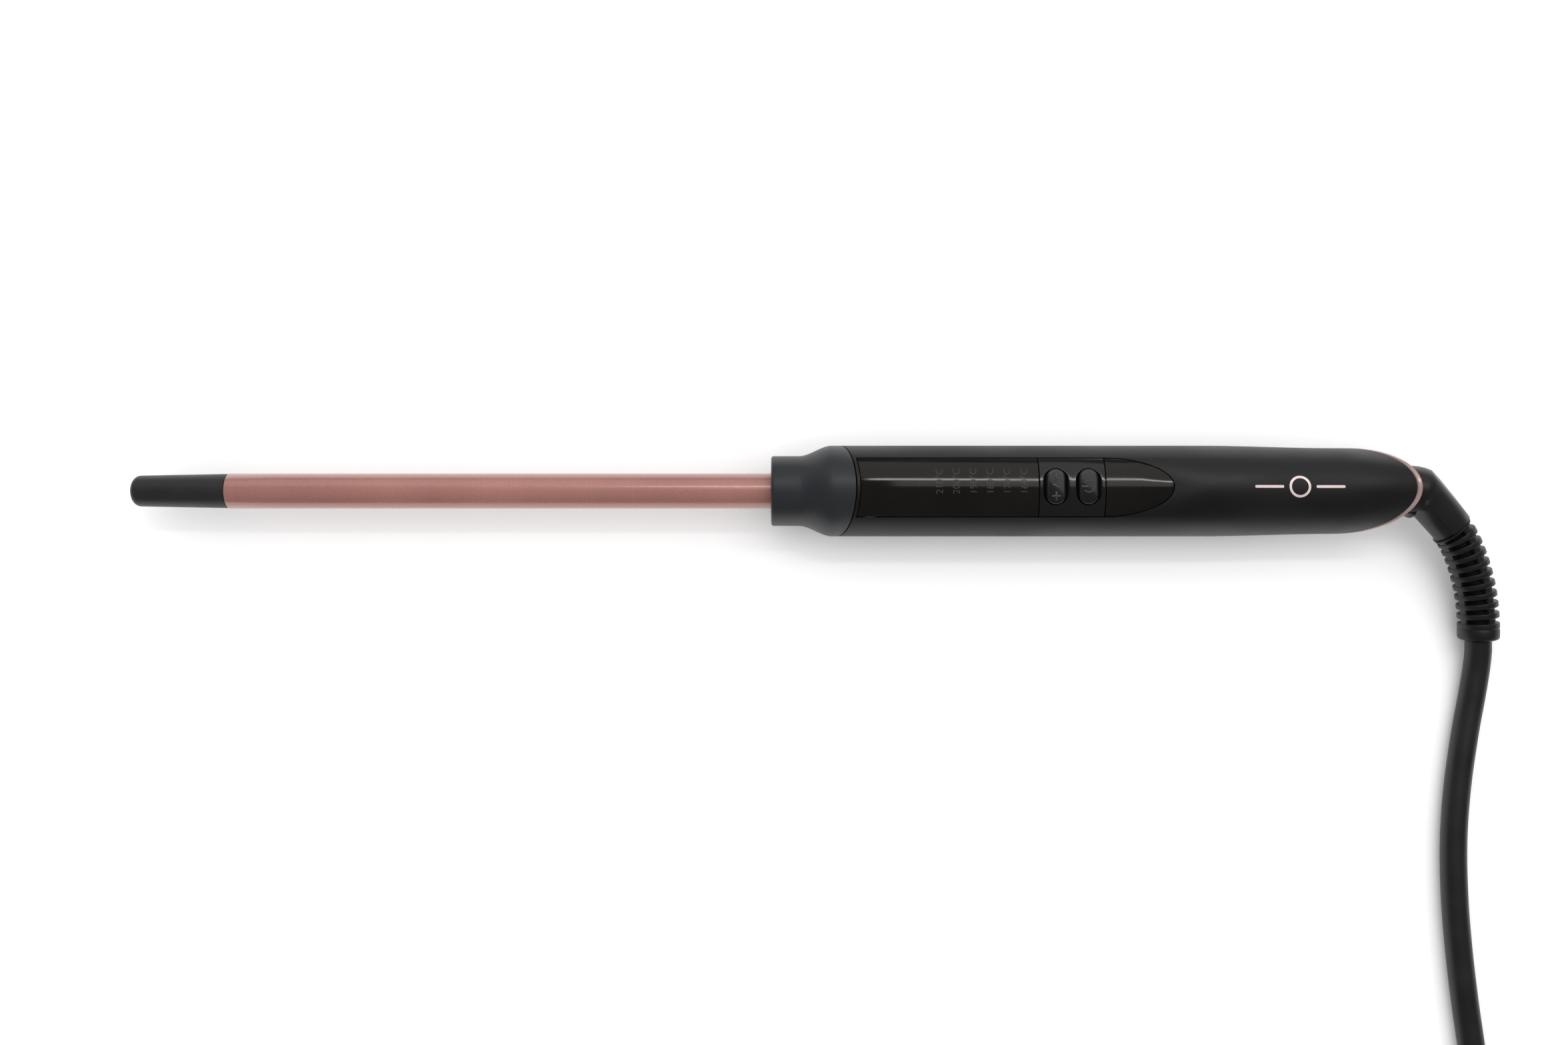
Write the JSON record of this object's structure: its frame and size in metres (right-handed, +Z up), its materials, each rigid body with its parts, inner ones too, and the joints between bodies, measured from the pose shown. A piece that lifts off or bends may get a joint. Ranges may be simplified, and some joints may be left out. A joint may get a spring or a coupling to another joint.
{
  "type": "curling wand",
  "caption": "Clampless curling wand: coated barrel with cool tip, round handle with lit temperature lens and press buttons, slanted tail, swivelling elbow and a coiled mains cord with plug.",
  "frame": {"origin": "on the surface it lies on, under the middle of the wand (cord, elbow and plug left out)", "axes": "+X along the wand from cool tip to tail, +Z up through the middle of the display lens, +Y across"},
  "size_m": [0.3881, 0.3012, 0.0252],
  "materials": {
    "tip_plastic": "satin moulded heat-resistant plastic",
    "rose_coating": "satin metallic rose ceramic coating with fine fleck",
    "collar_plastic": "matte charcoal heat-resistant plastic",
    "handle_soft_touch": "matte soft-touch lacquer",
    "rose_trim": "satin rose-gold plating",
    "gloss_plastic": "high-gloss piano black",
    "smoked_lens": "glossy smoked polycarbonate",
    "cap_plastic": "satin black",
    "elbow_plastic": "satin black nylon",
    "relief_rubber": "soft black PVC",
    "cord_sheath": "matte black PVC sheath",
    "tie_strap": "black hook-and-loop strap",
    "pin_brass": "nickel-plated brass",
    "steel": "zinc-plated",
    "aluminium": "bare extruded",
    "ceramic": "sintered ceramic",
    "thermistor_glass": "amber glass bead",
    "wire_white": "silicone insulation",
    "wire_brown": "PVC insulation",
    "wire_blue": "PVC insulation",
    "board_laminate": "green solder mask",
    "component_black": "moulded epoxy",
    "capacitor_film": "dipped epoxy",
    "clear_resin": "clear moulded resin"
  },
  "bodies": {
    "root": {"cool_tip": "tip_plastic", "barrel_tube": "rose_coating", "nose_collar": "collar_plastic", "upper_shell": "handle_soft_touch", "lower_shell": "handle_soft_touch", "tail_rim": "rose_trim", "button_panel": "gloss_plastic", "display_lens": "smoked_lens", "rear_lens": "smoked_lens", "tail_cap": "cap_plastic", "cord_lead": "cord_sheath", "cord_coil": "cord_sheath", "cord_tail": "cord_sheath", "plug_body": "cord_sheath", "cord_tie": "tie_strap", "plug_pin_left": "pin_brass", "plug_pin_right": "pin_brass", "brush_live": "pin_brass", "brush_neutral": "pin_brass", "shell_screw": "steel", "board_screw_front": "steel", "board_screw_rear": "steel", "thermal_fuse": "steel", "heat_spreader_upper": "aluminium", "heat_spreader_lower": "aluminium", "heater_plate": "ceramic", "barrel_bush": "ceramic", "swivel_bush": "ceramic", "thermistor": "thermistor_glass", "thermistor_lead": "wire_white", "heater_lead_live": "wire_white", "heater_lead_return": "wire_white", "fuse_lead": "wire_white", "supply_wire_live": "wire_brown", "supply_wire_neutral": "wire_blue", "circuit_board": "board_laminate", "tact_switch_temp": "component_black", "tact_switch_power": "component_black", "controller_chip": "component_black", "triac": "component_black", "film_capacitor": "capacitor_film", "light_guide": "clear_resin"},
    "temp_key": {"temp_button": "gloss_plastic"},
    "power_key": {"power_button": "gloss_plastic"},
    "swivel": {"swivel_elbow": "elbow_plastic", "strain_relief": "relief_rubber", "slip_ring_live": "pin_brass", "slip_ring_neutral": "pin_brass", "swivel_washer": "clear_resin"}
  },
  "joints": [
    {"name": "temp_press", "type": "slide", "parent": "root", "child": "temp_key", "axis": [0, 0, -1], "range_m": [0, 0.0006], "stiffness_N_per_m": 600},
    {"name": "power_press", "type": "slide", "parent": "root", "child": "power_key", "axis": [0, 0, -1], "range_m": [0, 0.0006], "stiffness_N_per_m": 600},
    {"name": "cord_swivel", "type": "hinge", "parent": "root", "child": "swivel", "pos_m": [0.1845, 0, 0.01236], "axis": [-1, 0, 0], "continuous": true}
  ]
}
